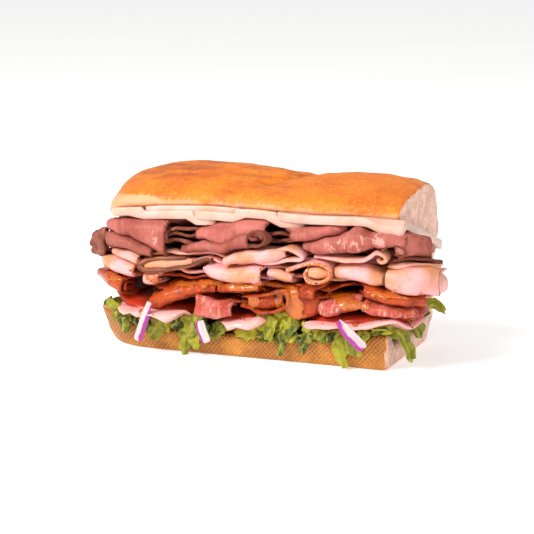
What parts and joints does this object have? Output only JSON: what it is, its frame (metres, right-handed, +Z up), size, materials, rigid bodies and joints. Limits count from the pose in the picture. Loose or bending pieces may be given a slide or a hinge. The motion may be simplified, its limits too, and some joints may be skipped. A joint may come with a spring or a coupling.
{
  "type": "submarine sandwich",
  "caption": "Submarine sandwich on a hinged roll, cut across one end, filled with sliced meats, cheese, tomato, onion, mayonnaise and lettuce.",
  "frame": {"origin": "on the flat under the roll, below the middle of its length and width", "axes": "+X along the roll towards its cut end, +Y from the open side towards the hinge, +Z up"},
  "size_m": [0.1821, 0.0828, 0.0851],
  "materials": {
    "crust": "golden baked crust, soft gloss, with pale open crumb at the cut",
    "cheese": "creamy white, satin",
    "beef": "moist roast beef, marbled, with dark brown rims",
    "turkey": "moist pale slices with thin browned rims",
    "spiced_sausage": "oily orange-red slices with sauce and pepper",
    "tomato": "wet deep red",
    "mayonnaise": "glossy cream white",
    "onion": "moist white with a purple edge",
    "lettuce": "crisp light to dark green, veined"
  },
  "bodies": {
    "root": {"beef_1": "beef", "beef_2": "beef", "beef_3": "beef", "beef_4": "beef", "beef_5": "beef", "beef_6": "beef", "beef_7": "beef", "beef_8": "beef", "beef_9": "beef", "bread": "crust", "cheese_1": "cheese", "cheese_2": "cheese", "cheese_3": "cheese", "cheese_4": "cheese", "lettuce": "lettuce", "mayonnaise_1": "mayonnaise", "mayonnaise_2": "mayonnaise", "mayonnaise_3": "mayonnaise", "onion_1": "onion", "onion_2": "onion", "onion_3": "onion", "spiced_1": "spiced_sausage", "spiced_2": "spiced_sausage", "spiced_3": "spiced_sausage", "spiced_4": "spiced_sausage", "spiced_5": "spiced_sausage", "spiced_6": "spiced_sausage", "spiced_7": "spiced_sausage", "spiced_8": "spiced_sausage", "spiced_9": "spiced_sausage", "tomato_1": "tomato", "tomato_2": "tomato", "tomato_3": "tomato", "turkey_1": "turkey", "turkey_10": "turkey", "turkey_11": "turkey", "turkey_12": "turkey", "turkey_13": "turkey", "turkey_2": "turkey", "turkey_3": "turkey", "turkey_4": "turkey", "turkey_5": "turkey", "turkey_6": "turkey", "turkey_7": "turkey", "turkey_8": "turkey", "turkey_9": "turkey"}
  },
  "joints": []
}
